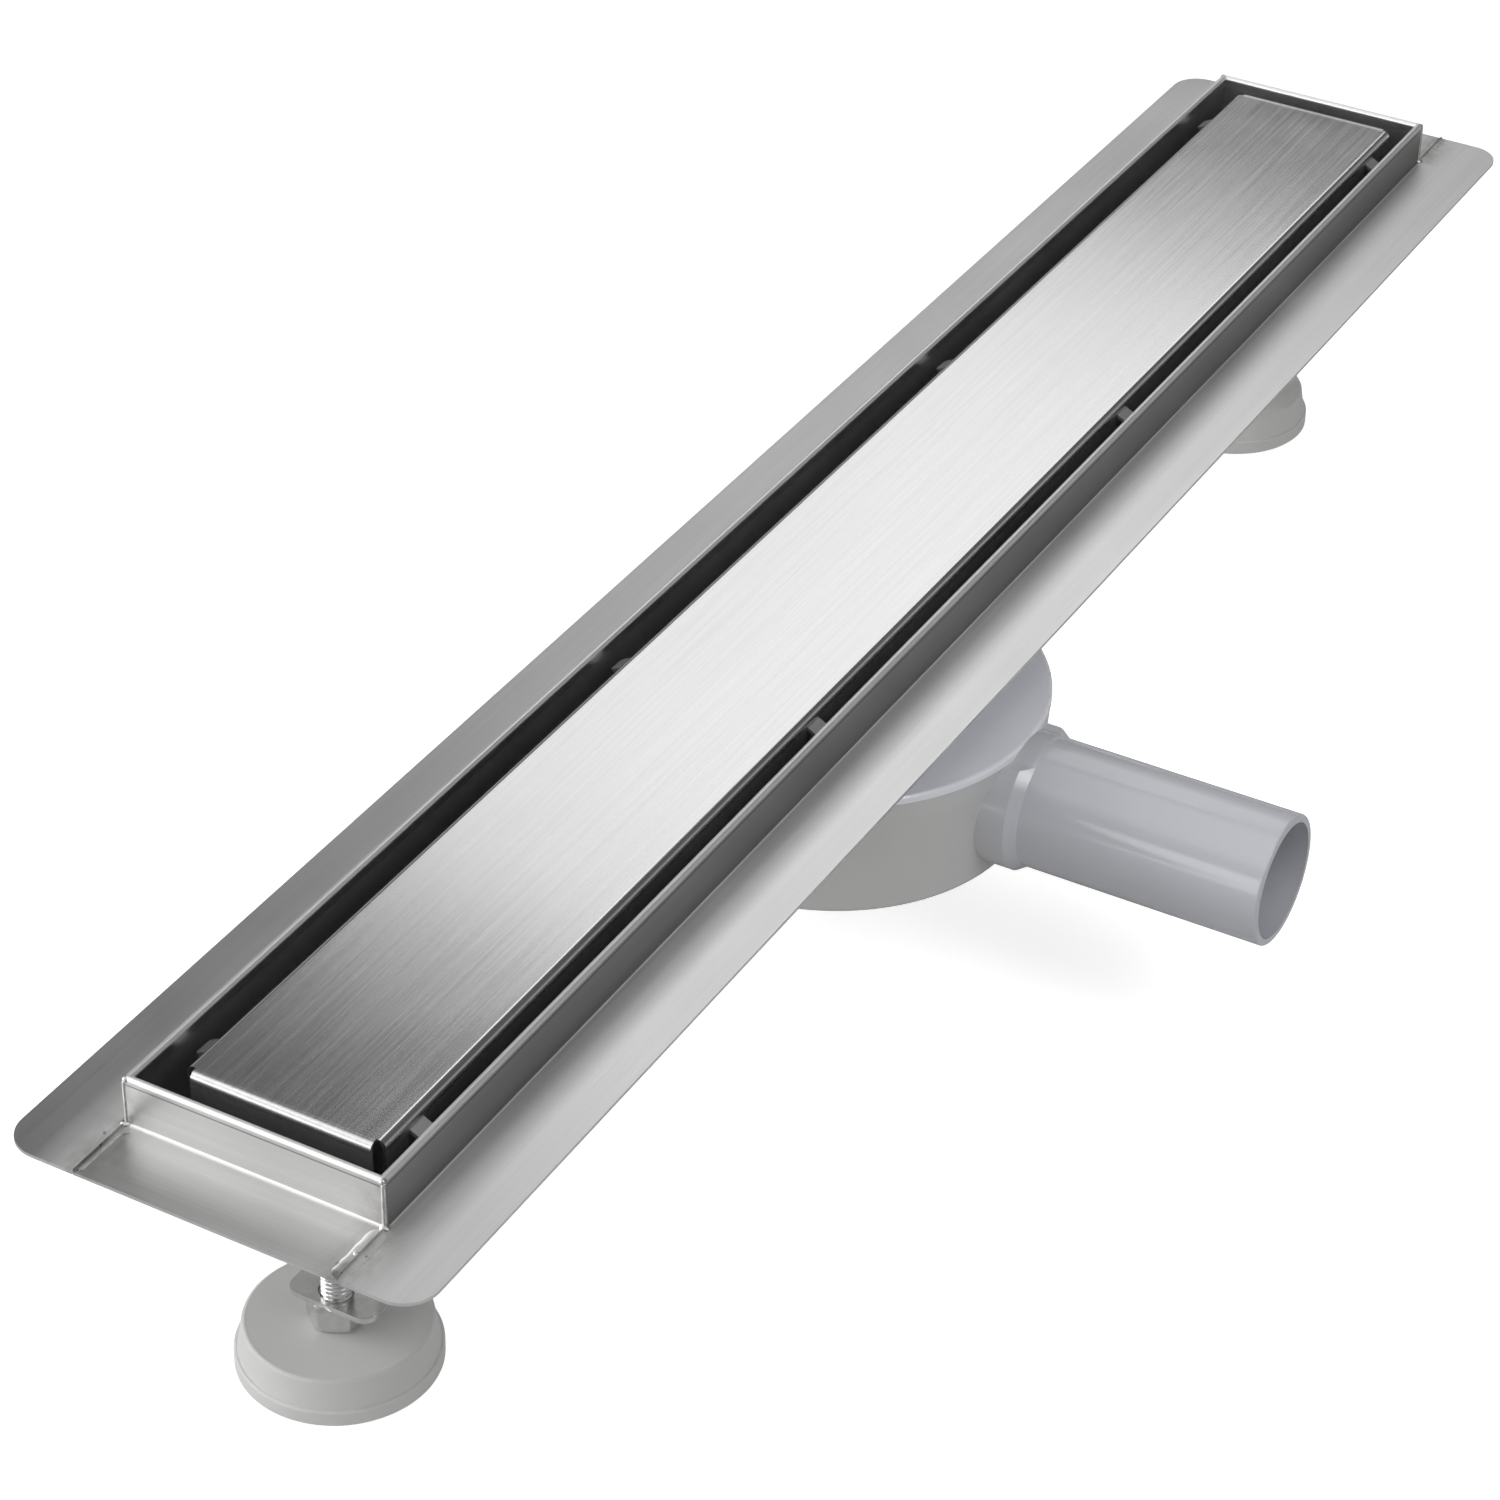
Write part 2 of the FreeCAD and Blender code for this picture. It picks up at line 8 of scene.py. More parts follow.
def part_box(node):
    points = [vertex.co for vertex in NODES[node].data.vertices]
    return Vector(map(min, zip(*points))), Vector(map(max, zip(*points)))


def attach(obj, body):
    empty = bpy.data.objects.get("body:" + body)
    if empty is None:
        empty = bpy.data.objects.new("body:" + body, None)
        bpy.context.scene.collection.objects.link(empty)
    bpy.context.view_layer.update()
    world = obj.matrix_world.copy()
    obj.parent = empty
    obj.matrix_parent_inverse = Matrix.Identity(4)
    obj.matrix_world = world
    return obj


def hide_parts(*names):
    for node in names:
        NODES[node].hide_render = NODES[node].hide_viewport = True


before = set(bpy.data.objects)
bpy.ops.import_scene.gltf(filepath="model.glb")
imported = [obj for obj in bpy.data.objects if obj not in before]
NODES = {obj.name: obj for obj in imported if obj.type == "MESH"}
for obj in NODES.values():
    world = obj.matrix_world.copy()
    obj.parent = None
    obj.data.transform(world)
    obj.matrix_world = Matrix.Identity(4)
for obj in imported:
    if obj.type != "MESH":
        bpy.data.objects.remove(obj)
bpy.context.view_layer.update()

MM = 0.001
FLANGE = -12.9          # top of the sealing flange, mm in this frame
RIM_TOP = 0.6
FLOOR = FLANGE - 17.5   # trough floor
PAD_LOW = FLANGE - 77.0
TRAP_Y = -29.0
PIPE_Z = FLANGE - 40.4
FEET = {"near": (-271.0, 1), "far": (244.0, -1)}
ROOT = "drain"


# ---------------------------------------------------------------------------
# camera: fitted to the photograph's corner points of rim, cover and flange
# ---------------------------------------------------------------------------
cam_data = bpy.data.cameras.new("camera")
cam = bpy.data.objects.new("camera", cam_data)
bpy.context.scene.collection.objects.link(cam)
cam_data.sensor_fit = "HORIZONTAL"
cam_data.sensor_width = 36.0
cam_data.lens = 4183.924 / 1500.0 * 36.0
cam_data.clip_start = 0.01
cam_data.clip_end = 50.0
right = Vector((0.87078196, 0.49134954, 0.01773137))
down = Vector((0.29318027, -0.48995506, -0.82096856))
ahead = Vector((-0.39469495, 0.72008310, -0.57069802))
rot = Matrix((right, -down, -ahead)).transposed()
cam.matrix_world = Matrix.Translation(Vector((434.637, -868.126, 609.134 + FLANGE)) * MM) @ rot.to_4x4()
bpy.context.scene.camera = cam


# ---------------------------------------------------------------------------
# materials
# ---------------------------------------------------------------------------
class Mat:
    """Small helper around one node tree."""

    def __init__(self, name, base=(0.8, 0.8, 0.8), **sockets):
        self.m = bpy.data.materials.new(name)
        self.m.use_nodes = True
        self.t = self.m.node_tree
        self.t.nodes.clear()
        self.out = self.t.nodes.new("ShaderNodeOutputMaterial")
        self.b = self.t.nodes.new("ShaderNodeBsdfPrincipled")
        self.t.links.new(self.b.outputs[0], self.out.inputs[0])
        self.b.inputs["Base Color"].default_value = (*base, 1.0)
        for k, v in sockets.items():
            self.b.inputs[k.replace("_", " ")].default_value = v
        self.co = self.t.nodes.new("ShaderNodeTexCoord").outputs["Object"]
        self.bump_in = None

    def node(self, kind, **inputs):
        n = self.t.nodes.new(kind)
        for k, v in inputs.items():
            sock = n.inputs[k.replace("_", " ")] if not k.startswith("i") or not k[1:].isdigit() else n.inputs[int(k[1:])]
            if isinstance(v, bpy.types.NodeSocket):
                self.t.links.new(v, sock)
            else:
                sock.default_value = v
        return n

    def math(self, op, a, b=None, clamp=False):
        n = self.t.nodes.new("ShaderNodeMath")
        n.operation = op
        n.use_clamp = clamp
        for i, v in enumerate((a, b)):
            if v is None:
                continue
            if isinstance(v, bpy.types.NodeSocket):
                self.t.links.new(v, n.inputs[i])
            else:
                n.inputs[i].default_value = v
        return n.outputs[0]

    def scaled(self, sx, sy, sz):
        """Object coordinates in units of features per metre along each axis."""
        n = self.t.nodes.new("ShaderNodeMapping")
        n.inputs["Scale"].default_value = (sx, sy, sz)
        self.t.links.new(self.co, n.inputs["Vector"])
        return n.outputs[0]

    def noise(self, vec, scale=1.0, detail=3.0, rough=0.5, dist=0.0):
        n = self.node("ShaderNodeTexNoise", Vector=vec, Scale=scale, Detail=detail,
                      Roughness=rough, Distortion=dist)
        return n.outputs["Fac"]

    def remap(self, v, a, b, c, d):
        n = self.node("ShaderNodeMapRange", Value=v)
        n.clamp = True
        n.inputs["From Min"].default_value = a
        n.inputs["From Max"].default_value = b
        n.inputs["To Min"].default_value = c
        n.inputs["To Max"].default_value = d
        return n.outputs[0]

    def mix(self, fac, a, b):
        n = self.t.nodes.new("ShaderNodeMix")
        n.data_type = "RGBA"
        for sock, v in ((n.inputs[0], fac), (n.inputs[6], a), (n.inputs[7], b)):
            if isinstance(v, bpy.types.NodeSocket):
                self.t.links.new(v, sock)
            elif isinstance(v, tuple):
                sock.default_value = (*v, 1.0)
            else:
                sock.default_value = v
        return n.outputs[2]

    def color(self, v):
        self.t.links.new(v, self.b.inputs["Base Color"])

    def rough(self, v):
        self.t.links.new(v, self.b.inputs["Roughness"])

    def bump(self, height, strength=0.3, distance=0.0005):
        n = self.t.nodes.new("ShaderNodeBump")
        n.inputs["Strength"].default_value = strength
        n.inputs["Distance"].default_value = distance
        self.t.links.new(height, n.inputs["Height"])
        if self.bump_in is not None:
            self.t.links.new(self.bump_in, n.inputs["Normal"])
        self.bump_in = n.outputs[0]
        self.t.links.new(self.bump_in, self.b.inputs["Normal"])

    def axis(self, i):
        n = self.t.nodes.new("ShaderNodeSeparateXYZ")
        self.t.links.new(self.co, n.inputs[0])
        return n.outputs[i]


def steel(name, light, dark, rough_lo, rough_hi, along="Y", grain=1.0, weld_tint_and_painted_hem_light_shade=False, droop=0.0, bends=None):
    """Rolled or brushed stainless sheet: long fine scratches along one axis,
    cloudy patches and uneven polish."""
    m = Mat(name, light, Metallic=1.0)
    long, fine = 9.0, 2600.0
    s = {"Y": (fine, long, fine), "X": (long, fine, fine)}[along]
    hair = m.noise(m.scaled(*s), 1.0, 4.0, 0.65)
    s2 = {"Y": (420.0, 3.0, 420.0), "X": (3.0, 420.0, 420.0)}[along]
    band = m.noise(m.scaled(*s2), 1.0, 2.0, 0.5)
    cloud = m.noise(m.scaled(14.0, 14.0, 14.0), 1.0, 3.0, 0.55, 0.4)
    speck = m.noise(m.scaled(900.0, 900.0, 900.0), 1.0, 2.0, 0.5)
    f = m.math("ADD", m.math("MULTIPLY", hair, 0.45 * grain), m.math("MULTIPLY", band, 0.25))
    f = m.math("ADD", f, m.math("MULTIPLY", cloud, 0.55 - 0.2 * grain))
    s3 = {"Y": (950.0, 20.0, 950.0), "X": (20.0, 950.0, 950.0)}[along]
    streak = m.math("SUBTRACT", m.noise(m.scaled(*s3), 1.0, 3.0, 0.6), 0.5)
    f = m.math("ADD", f, m.math("MULTIPLY", streak, 0.65 * grain))
    col = m.mix(m.remap(f, 0.35, 0.8, 0.0, 1.0), dark, light)
    if weld_tint_and_painted_hem_light_shade:
        # faint straw and grey discolouration beside the welded seams
        x, y = m.axis(0), m.axis(1)
        d = m.math("ABSOLUTE", m.math("SUBTRACT", m.math("ABSOLUTE", x), 0.035))
        near = m.remap(d, 0.0006, 0.0085, 0.8, 0.0)
        end = m.remap(m.math("ABSOLUTE", y), 0.2985, 0.3005, 0.0, 1.0)
        patch = m.noise(m.scaled(260.0, 130.0, 260.0), 1.0, 3.0, 0.6)
        k = m.math("MULTIPLY", m.math("MULTIPLY", near, end),
                   m.remap(patch, 0.35, 0.65, 0.10, 0.80))
        col = m.mix(k, col, (0.36, 0.35, 0.34))
        pit = m.noise(m.scaled(650.0, 500.0, 650.0), 1.0, 1.0, 0.4)
        wide = m.remap(d, 0.0010, 0.0040, 1.0, 0.0)
        k = m.math("MULTIPLY", m.math("MULTIPLY", wide, end), m.remap(pit, 0.70, 0.74, 0.0, 0.8))
        col = m.mix(k, col, (0.10, 0.095, 0.09))
    # painted shade: inside the trough and below the cover's bends the colour is darkened, and the sheet is rougher
    # there
    ax, ay, az = m.math("ABSOLUTE", m.axis(0)), m.math("ABSOLUTE", m.axis(1)), m.axis(2)
    inside_shade_and_rough = m.math("MULTIPLY", m.remap(az, -0.0034, -0.0020, 1.0, 0.0),
                    m.remap(az, -0.0310, -0.0306, 0.0, 1.0))
    inside_shade_and_rough = m.math("MULTIPLY", inside_shade_and_rough, m.math("LESS_THAN", ax, 0.0334))
    inside_shade_and_rough = m.math("MULTIPLY", inside_shade_and_rough, m.math("LESS_THAN", ay, 0.2984))
    # painted shade: the recessed sheet is mixed halfway towards dark grey
    col = m.mix(m.math("MULTIPLY", inside_shade_and_rough, 0.50), col, (0.20, 0.20, 0.205))
    # painted shade: the fold at the foot of the raised rim is darkened; the flange beside the fold is rougher
    fold_shade = m.math("MULTIPLY", m.math("GREATER_THAN", ax, 0.0347), m.math("LESS_THAN", ax, 0.0353))
    fold_shade = m.math("MULTIPLY", fold_shade, m.remap(az, -0.0124, -0.0010, 1.0, 0.35))
    fold_shade = m.math("MULTIPLY", fold_shade, m.remap(az, -0.0012, -0.0004, 1.0, 0.0))
    fold_shade = m.math("MULTIPLY", fold_shade, m.math("LESS_THAN", ay, 0.2995))
    col = m.mix(m.math("MULTIPLY", fold_shade, 0.80), col, (0.10, 0.10, 0.10))
    foot = m.math("MULTIPLY", m.remap(ax, 0.0352, 0.0470, 1.0, 0.0), m.math("LESS_THAN", az, -0.0125))
    foot = m.math("MULTIPLY", foot, m.math("GREATER_THAN", ax, 0.0350))
    if weld_tint_and_painted_hem_light_shade:
        # painted highlight: the top of the folded edge of the rim is made near-white, and rougher
        hem_highlight = m.remap(az, -0.0007, -0.0001, 0.0, 1.0)
        # painted shadow: a dark line just under the folded edge of the rim
        hem_shadow_line = m.remap(m.math("ABSOLUTE", m.math("ADD", az, 0.00135)), 0.0001, 0.0003, 0.65, 0.0)
        hem_shadow_line = m.math("MULTIPLY", hem_shadow_line, m.math("MAXIMUM", m.math("GREATER_THAN", ax, 0.0345),
                                                   m.math("GREATER_THAN", ay, 0.2992)))
        col = m.mix(hem_shadow_line, col, (0.10, 0.10, 0.10))
        col = m.mix(m.math("MULTIPLY", hem_highlight, 0.85), col, (0.95, 0.95, 0.945))
    m.color(col)
    r = m.remap(m.math("ADD", m.math("MULTIPLY", cloud, 0.6), m.math("MULTIPLY", hair, 0.4)),
                0.3, 0.7, rough_lo, rough_hi)
    r = m.math("ADD", r, m.math("MULTIPLY", inside_shade_and_rough, 0.15))
    r = m.math("ADD", r, m.math("MULTIPLY", foot, 0.30))
    r = m.math("ADD", r, m.math("MULTIPLY", streak, 0.06 * grain))
    if bends:
        # stretched metal on the cover's bends scatters more
        worn = m.math("MAXIMUM", m.remap(ay, 0.2885, 0.2900, 0.0, 1.0),
                      m.remap(m.math("ABSOLUTE", m.math("SUBTRACT", m.axis(0), bends)), 0.0262, 0.0274, 0.0, 1.0))
        r = m.math("ADD", r, m.math("MULTIPLY", worn, 0.20))
    if weld_tint_and_painted_hem_light_shade:
        r = m.math("ADD", r, m.math("MULTIPLY", hem_highlight, 0.12))
    m.rough(r)
    m.bump(hair, 0.16 * grain, 0.00006)
    m.bump(band, 0.05 * grain, 0.0002)
    m.bump(speck, 0.06, 0.00003)
    if droop:
        # a bump tilts the flanges' shading outwards by a few degrees, as on a light cold-bent sheet whose flanges sag
        out = m.math("MAXIMUM", m.math("SUBTRACT", m.math("ABSOLUTE", m.axis(0)), 0.037), 0.0)
        m.bump(m.math("MULTIPLY", out, -droop), 1.0, 1.0)
    return m


CHANNEL = steel("channel_sheet", (0.84, 0.84, 0.835), (0.70, 0.70, 0.70), 0.26, 0.37, grain=0.5, weld_tint_and_painted_hem_light_shade=True, droop=0.05)
END = steel("end_sheet", (0.84, 0.84, 0.83), (0.70, 0.70, 0.695), 0.28, 0.38, along="X", grain=0.5, weld_tint_and_painted_hem_light_shade=True)
COVER = steel("cover_brushed", (0.84, 0.84, 0.84), (0.72, 0.72, 0.725), 0.13, 0.20, grain=1.0, bends=0.0012)
HIDDEN = steel("bridge_sheet", (0.72, 0.72, 0.72), (0.58, 0.58, 0.58), 0.28, 0.40, along="X", grain=0.6)


def zinc(name):
    m = Mat(name, (0.72, 0.72, 0.72), Metallic=1.0)
    cell = m.node("ShaderNodeTexVoronoi", Vector=m.scaled(700.0, 700.0, 700.0), Scale=1.0)
    cloud = m.noise(m.scaled(240.0, 240.0, 240.0), 1.0, 3.0, 0.6)
    m.color(m.mix(m.remap(cloud, 0.3, 0.7, 0.0, 1.0), (0.68, 0.68, 0.675), (0.88, 0.88, 0.875)))
    m.rough(m.remap(cloud, 0.3, 0.7, 0.16, 0.30))
    m.bump(cell.outputs["Distance"], 0.05, 0.00005)
    m.bump(cloud, 0.10, 0.0001)
    return m


ZINC = zinc("zinc_plate")


def plastic(name, light, dark, r0, r1, bump, coat=0.0, spout_sky_tint=None):
    m = Mat(name, light, Metallic=0.0, Coat_Weight=coat, Coat_Roughness=0.12)
    m.b.inputs["IOR"].default_value = 1.5
    cloud = m.noise(m.scaled(30.0, 30.0, 30.0), 1.0, 3.0, 0.5, 0.3)
    fine = m.noise(m.scaled(1800.0, 1800.0, 1800.0), 1.0, 3.0, 0.6)
    col = m.mix(m.remap(cloud, 0.3, 0.7, 0.0, 1.0), dark, light)
    if spout_sky_tint:
        # painted reflection: the outlet pipe is coloured bluer than the bowl for the sky it reflects, and a little
        # darker
        col = m.mix(m.math("MULTIPLY", m.remap(m.axis(0), 0.050, 0.064, 0.0, 1.0), 0.9), col, spout_sky_tint)
    m.color(col)
    m.rough(m.remap(m.math("ADD", m.math("MULTIPLY", cloud, 0.5), m.math("MULTIPLY", fine, 0.5)),
                    0.35, 0.65, r0, r1))
    m.bump(fine, bump, 0.00008)
    return m


TRAP = plastic("trap_pvc", (0.585, 0.585, 0.58), (0.545, 0.545, 0.54), 0.14, 0.22, 0.03, coat=0.5,
               spout_sky_tint=(0.52, 0.53, 0.575))
# painted light and painted reflection: the lid is coloured lighter and bluer than the bowl, for the sky it reflects
# and the light it misses under the flange
LID_PAINTED_LIGHT = plastic("trap_lid_pvc_painted_light", (0.86, 0.87, 0.93), (0.82, 0.83, 0.885), 0.14, 0.22, 0.03, coat=0.5)
PAD = plastic("pad_moulded", (0.73, 0.73, 0.72), (0.67, 0.67, 0.66), 0.42, 0.56, 0.12)
RUBBER = plastic("seal_rubber", (0.035, 0.035, 0.038), (0.02, 0.02, 0.022), 0.5, 0.7, 0.2)


def paint(node, mat):
    o = NODES[node]
    o.data.materials.clear()
    o.data.materials.append(mat.m)


for n in ("channel_body",):
    paint(n, CHANNEL)
for n in ("end_piece_near", "end_piece_far"):
    paint(n, END)
for n in ("cover_plate", "hair_strainer"):
    paint(n, COVER)
paint("cover_bridges", HIDDEN)
for n in ("foot_bracket_near", "foot_bracket_far", "foot_nut_near", "foot_nut_far",
          "foot_stud_near", "foot_stud_far"):
    paint(n, ZINC)
paint("trap_lid", LID_PAINTED_LIGHT)
for n in ("trap_body", "clamp_ring", "dip_tube", "seal_cup"):
    paint(n, TRAP)
for n in ("foot_pad_near", "foot_pad_far"):
    paint(n, PAD)
for n in ("outlet_gasket", "insert_o_ring"):
    paint(n, RUBBER)


# ---------------------------------------------------------------------------
# detail pieces
# ---------------------------------------------------------------------------
def weld_mat():
    """Ripple of a fine weld seam: bright bead with straw and grey patches."""
    m = Mat("weld_bead", (0.78, 0.77, 0.75), Metallic=1.0)
    cloud = m.noise(m.scaled(500.0, 500.0, 500.0), 1.0, 3.0, 0.6)
    fine = m.noise(m.scaled(2400.0, 2400.0, 2400.0), 1.0, 2.0, 0.5)
    m.color(m.mix(m.remap(cloud, 0.35, 0.7, 0.0, 1.0), (0.50, 0.485, 0.46), (0.74, 0.735, 0.725)))
    m.rough(m.remap(cloud, 0.3, 0.7, 0.26, 0.40))
    m.bump(fine, 0.06, 0.00003)
    return m


WELD = weld_mat()


def piece(name, verts, faces, mat, body=ROOT, sharp=35.0):
    """Closed mesh from millimetre coordinates, shaded smooth but for sharp edges."""
    me = bpy.data.meshes.new(name)
    me.from_pydata([(x * MM, y * MM, z * MM) for x, y, z in verts], [], faces)
    bm = bmesh.new()
    bm.from_mesh(me)
    bmesh.ops.remove_doubles(bm, verts=bm.verts, dist=2e-6)
    bmesh.ops.dissolve_degenerate(bm, edges=bm.edges, dist=1e-6)
    bmesh.ops.recalc_face_normals(bm, faces=bm.faces)
    bm.to_mesh(me)
    bm.free()
    me.shade_smooth()
    me.set_sharp_from_angle(angle=math.radians(sharp))
    me.materials.append(mat.m)
    o = bpy.data.objects.new(name, me)
    bpy.context.scene.collection.objects.link(o)
    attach(o, body)
    return o


class Shape:
    """Vertices and faces of one piece, gathered from several closed shells."""

    def __init__(self):
        self.v, self.f = [], []

    def add(self, verts, faces):
        k = len(self.v)
        self.v += verts
        self.f += [tuple(i + k for i in f) for f in faces]

    def lathe(self, outline, n=48, at=(0.0, 0.0), flip=1.0):
        """Revolve (r, z) points that begin and end on the axis."""
        verts, faces, rings = [], [], []
        for r, z in outline:
            if r < 1e-6:
                rings.append([len(verts)])
                verts.append((at[0], at[1], z))
            else:
                rings.append(list(range(len(verts), len(verts) + n)))
                verts += [(at[0] + r * math.cos(2 * math.pi * k / n),
                           at[1] + r * math.sin(2 * math.pi * k / n), z) for k in range(n)]
        for a, b in zip(rings, rings[1:]):
            for k in range(n):
                q = (k + 1) % n
                if len(a) == 1:
                    faces.append((a[0], b[k], b[q]))
                elif len(b) == 1:
                    faces.append((a[k], a[q], b[0]))
                else:
                    faces.append((a[k], a[q], b[q], b[k]))
        self.add(verts, faces)

    def bead(self, path, up, a, b, ripple=0.10, pitch=1.1, seed=0, step=0.22, taper=1.0):
        """Rounded weld bead along a polyline: half-width a, half-height b."""
        pts = [Vector(p) for p in path]
        lens = [0.0]
        for p, q in zip(pts, pts[1:]):
            lens.append(lens[-1] + (q - p).length)
        total = lens[-1]
        n = max(6, int(total / step))
        m = 14
        verts, faces = [], []
        up = Vector(up) if not callable(up) else up
        for i in range(n + 1):
            s = total * i / n
            j = max(k for k in range(len(lens) - 1) if lens[k] <= s + 1e-9)
            u = (s - lens[j]) / max(1e-9, lens[j + 1] - lens[j])
            c = pts[j].lerp(pts[j + 1], u)
            t = (pts[j + 1] - pts[j]).normalized()
            if j > 0 and u < 0.5 and (s - lens[j]) < 0.6:
                t = (t + (pts[j] - pts[j - 1]).normalized()).normalized()
            upv = up(c) if callable(up) else up
            side = t.cross(upv).normalized()
            nor = side.cross(t).normalized()
            end = min(s, total - s) / max(a, 0.3)
            cap = math.sqrt(max(0.0, 1 - (1 - min(1.0, end)) ** 2))
            wave = 1.0 + ripple * math.sin(2 * math.pi * s / pitch)
            wave += 0.45 * ripple * noise.noise(Vector((s * 0.35, seed * 7.1, 0.3)))
            w = max(cap, 0.02) * (0.72 + 0.28 * wave) * taper
            h = max(cap, 0.02) * wave * taper
            c = c + side * (0.06 * a * noise.noise(Vector((s * 0.5, seed * 3.7, 9.1))))
            for k in range(m):
                f = 2 * math.pi * k / m
                # ripples are curved back from the middle of the seam
                lag = -0.28 * a * (1 - math.cos(f) ** 2) if 0 < i < n else 0.0
                p = c + side * (a * w * math.cos(f)) + nor * (b * h * math.sin(f)) - t * lag * 0.5
                verts.append(tuple(p))
        for i in range(n):
            for k in range(m):
                q = (k + 1) % m
                faces.append((i * m + k, i * m + q, (i + 1) * m + q, (i + 1) * m + k))
        faces.append(tuple(range(m - 1, -1, -1)))
        faces.append(tuple(n * m + k for k in range(m)))
        self.add(verts, faces)

    def blob(self, at, r, seed=0, lump=0.10):
        """Small solidified drop of metal."""
        rows, cols = 12, 18
        verts, faces = [], []
        verts.append((at[0], at[1], at[2] - r[2]))
        for i in range(1, rows):
            e = -math.pi / 2 + math.pi * i / rows
            for k in range(cols):
                f = 2 * math.pi * k / cols
                d = Vector((math.cos(e) * math.cos(f), math.cos(e) * math.sin(f), math.sin(e)))
                g = 1.0 + lump * noise.noise(d * 1.3 + Vector((seed * 5.3, 1.7, seed)))
                verts.append((at[0] + r[0] * d.x * g, at[1] + r[1] * d.y * g,
                              at[2] + r[2] * d.z * min(g, 1.0)))
        verts.append((at[0], at[1], at[2] + r[2]))
        last = len(verts) - 1
        for k in range(cols):
            q = (k + 1) % cols
            faces.append((0, 1 + q, 1 + k))
            faces.append((last, last - cols + k, last - cols + q))
            for i in range(rows - 2):
                p = 1 + i * cols
                faces.append((p + k, p + q, p + cols + q, p + cols + k))
        self.add(verts, faces)


def threaded_stud(name, node, y0, body):
    """M8 stud: helical 1.25 mm thread with a chamfered end, hexagon head below."""
    pitch, n, per = 1.25, 44, 8
    crest, depth = 3.95, 0.68
    z0, z1 = -81.4, -33.9
    rows = int((z1 - z0 + 2 * pitch) / pitch) * per + per
    prof = [0.0, 0.0, 0.36, 0.72, 1.0, 1.0, 0.72, 0.36]
    verts, faces = [], []
    for i in range(rows):
        for k in range(n):
            f = 2 * math.pi * k / n
            z = z0 - pitch + pitch * (i / per + k / n)
            r = crest - depth * prof[i % per]
            zz = min(max(z, z0), z1)
            r = min(r, crest - 0.8 + (z1 - zz))
            if z <= z0 + 0.6 or z >= z1:
                r = min(r, crest - depth)
            if z < z0 + 3.0:
                r = crest - depth
            verts.append((r * math.cos(f), y0 + r * math.sin(f), zz))
    for i in range(rows):
        for k in range(n):
            if k < n - 1:
                a, b = i * n + k, i * n + k + 1
                c, d = b + n, a + n
            else:
                a, b = i * n + k, (i + per) * n
                c, d = b + n, a + n
            if max(a, b, c, d) < len(verts):
                faces.append((a, b, c, d))
    s = Shape()
    s.add(verts, faces)
    # close the two ends of the thread
    lo = [(0.0, y0, z0)]
    hi = [(0.0, y0, z1 - 0.25), ]
    base = len(s.v)
    s.v += lo + hi
    ring_lo = [k for k in range(n)]
    ring_hi = [(rows - 1) * n + k for k in range(n)]
    for k in range(n):
        s.f.append((base, ring_lo[(k + 1) % n], ring_lo[k]))
        s.f.append((base + 1, ring_hi[k], ring_hi[(k + 1) % n]))
    # hexagon head, moulded into the pad
    r6 = 13.0 / math.sqrt(3)
    hv, hf, m = [], [], 6
    for z, sc in ((-86.5, 0.93), (-86.1, 1.0), (-81.7, 1.0), (-81.2, 0.93)):
        for k in range(m):
            f = math.radians(-64.0 + 30 + 60 * k)
            hv.append((r6 * sc * math.cos(f) * 0.998, y0 + r6 * sc * math.sin(f) * 0.998, z))
    for i in range(3):
        for k in range(m):
            q = (k + 1) % m
            hf.append((i * m + k, i * m + q, (i + 1) * m + q, (i + 1) * m + k))
    hf.append(tuple(range(m - 1, -1, -1)))
    hf.append(tuple(3 * m + k for k in range(m)))
    s.add(hv, hf)
    o = piece(name, s.v, s.f, ZINC, body=body, sharp=40.0)
    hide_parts(node)
    return o


threaded_stud("stud_thread_near", "foot_stud_near", FEET["near"][0], "near_foot")
threaded_stud("stud_thread_far", "foot_stud_far", FEET["far"][0], "far_foot")


